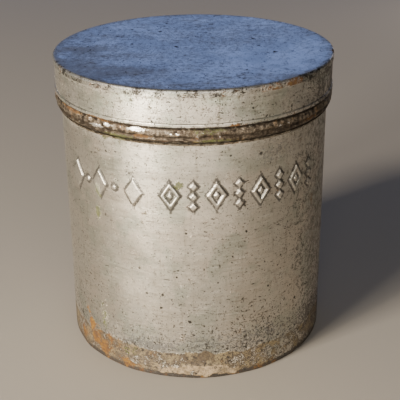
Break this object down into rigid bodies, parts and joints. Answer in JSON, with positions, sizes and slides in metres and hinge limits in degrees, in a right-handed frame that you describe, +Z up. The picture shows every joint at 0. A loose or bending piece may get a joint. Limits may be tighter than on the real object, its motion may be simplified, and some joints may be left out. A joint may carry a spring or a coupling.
{
  "type": "lidded creamery can",
  "caption": "Straight-sided sheet-steel dairy can with a flat slip-over lid that rests on a half-oval hoop round its neck, and a raised bottom.",
  "frame": {"origin": "centre of the can's foot, on the floor", "axes": "+Z up along the can's axis, the embossed band faces -Y, +X to the right when facing the band"},
  "size_m": [0.2548, 0.2548, 0.2753],
  "materials": {
    "tinned_wall": "dull tinned sheet steel with dark pits and rust at the foot",
    "steel_wire": "dull steel wire",
    "rusty_hoop": "rough steel bar, browned, with worn tin on its crown",
    "old_solder": "lumpy dark solder",
    "seam_solder": "dull grey solder",
    "tinned_bottom": "dull stained tinned sheet",
    "foot_iron": "rusty flat bar",
    "lid_sheet": "scratched satin tinned sheet with a rusty edge"
  },
  "bodies": {
    "can": {"body_shell": "tinned_wall", "mouth_wire": "steel_wire", "stop_ring": "rusty_hoop", "ring_solder_upper": "old_solder", "ring_solder_lower": "old_solder", "side_seam_solder": "seam_solder", "bottom_pan": "tinned_bottom", "bottom_solder": "seam_solder", "foot_hoop": "foot_iron"},
    "lid": {"lid_cover": "lid_sheet", "lid_skirt": "lid_sheet", "lid_solder": "seam_solder", "lid_seam_solder": "seam_solder"}
  },
  "joints": [
    {"name": "lid_lift", "type": "slide", "parent": "can", "child": "lid", "axis": [0, 0, 1], "range_m": [0, 0.3]}
  ]
}
